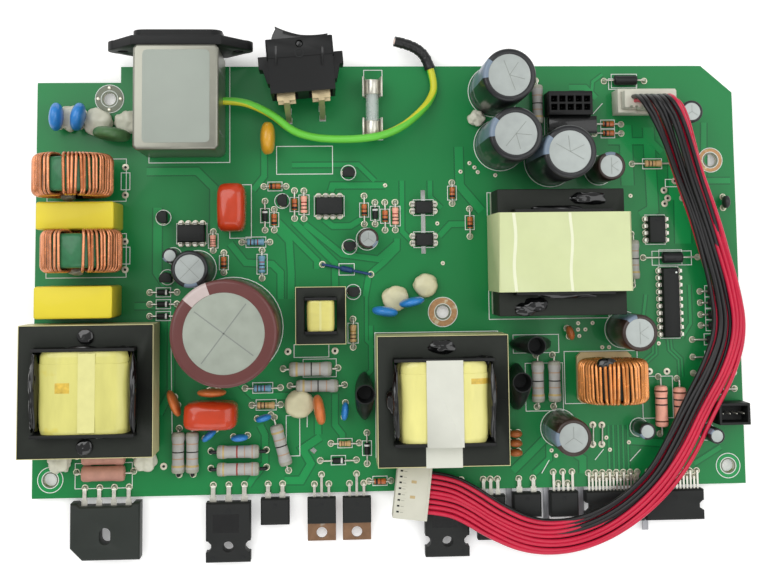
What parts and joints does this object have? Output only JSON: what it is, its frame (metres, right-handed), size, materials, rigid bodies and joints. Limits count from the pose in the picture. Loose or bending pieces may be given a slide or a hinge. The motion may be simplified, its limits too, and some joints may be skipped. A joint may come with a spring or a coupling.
{
  "type": "power supply board",
  "caption": "Mains power supply board with inlet filter, rocker switch, chokes, transformers, capacitors, edge-mounted power devices and an output harness.",
  "frame": {"origin": "midway between the two front corner mounting holes, on the board's underside", "axes": "+X along the long front edge, +Y towards the inlet and switch, +Z out of the component side"},
  "size_m": [0.254, 0.1857, 0.0426],
  "materials": {
    "board_green": "glossy green solder mask over glass laminate",
    "can_steel": "drawn tinned steel",
    "black_plastic": "moulded black plastic",
    "plated_metal": "bright tin plate",
    "brass_tab": "bare brass sheet",
    "fuse_glass": "clear glass",
    "ferrite": "dark ground ferrite",
    "copper_enamel": "enamelled copper wire",
    "copper_tab": "bare copper",
    "beige_plastic": "beige moulded plastic",
    "yellow_tape": "yellow polyester tape",
    "pale_tape": "pale polyester tape",
    "yellow_case": "yellow plastic case",
    "orange_dip": "dark orange dipped resin",
    "brown_sleeve": "brown shrink sleeve",
    "black_sleeve": "black shrink sleeve",
    "blue_dip": "blue dipped resin",
    "brown_dip": "brown dipped resin",
    "orange_disc": "orange dipped resin",
    "grey_coating": "grey cement coating with colour bands",
    "black_rubber": "black shrink tubing",
    "white_plastic": "off-white nylon",
    "green_wire": "green wire sheath with a yellow stripe",
    "black_wire": "black wire sheath",
    "red_wire": "red wire sheath",
    "white_silicone": "set white silicone"
  },
  "bodies": {
    "board": {"circuit_board": "board_green", "filter_can": "can_steel", "inlet_socket": "black_plastic", "inlet_blades": "plated_metal", "switch_housing": "black_plastic", "switch_terminals": "brass_tab", "fuse_tube": "fuse_glass", "fuse_caps": "plated_metal", "fuse_clips": "plated_metal", "choke_cores": "ferrite", "choke_windings": "copper_enamel", "choke_bases": "black_plastic", "output_choke_core": "ferrite", "output_choke_winding": "copper_enamel", "output_choke_base": "beige_plastic", "boost_choke_core": "ferrite", "boost_choke_bobbin": "beige_plastic", "boost_choke_winding": "yellow_tape", "main_transformer_core": "ferrite", "main_transformer_bobbin": "beige_plastic", "main_transformer_winding": "yellow_tape", "output_transformer_core": "ferrite", "output_transformer_bobbin": "black_plastic", "output_transformer_winding": "yellow_tape", "driver_transformer_core": "ferrite", "driver_transformer_bobbin": "black_plastic", "driver_transformer_winding": "yellow_tape", "transformer_tapes": "pale_tape", "x2_capacitors": "yellow_case", "film_capacitors": "orange_dip", "bulk_capacitor": "brown_sleeve", "output_capacitors": "black_sleeve", "small_capacitors": "black_sleeve", "disc_capacitors_blue": "blue_dip", "disc_capacitors_brown": "brown_dip", "surge_discs": "orange_disc", "power_resistors": "grey_coating", "small_resistors": "grey_coating", "diodes": "black_plastic", "ic_packages": "black_plastic", "small_transistors": "black_plastic", "sleeve_boots": "black_rubber", "bridge_rectifier": "black_plastic", "power_transistors": "black_plastic", "switching_transistors": "black_plastic", "switching_transistor_tabs": "copper_tab", "edge_rectifiers": "black_plastic", "driver_ics": "black_plastic", "device_clamp": "plated_metal", "board_headers": "white_plastic", "header_pins": "plated_metal", "harness_plugs": "white_plastic", "earth_wire": "green_wire", "earth_wire_sleeve": "black_rubber", "harness_black": "black_wire", "harness_red": "red_wire", "component_leads": "plated_metal", "solder_pins": "plated_metal", "compound_dabs": "white_silicone"},
    "rocker": {"switch_rocker": "black_plastic"}
  },
  "joints": [
    {"name": "rocker_tilt", "type": "hinge", "parent": "board", "child": "rocker", "pos_m": [-0.0327, 0.15, 0.016], "axis": [0, 0, 1], "range_deg": [0, 24]}
  ]
}
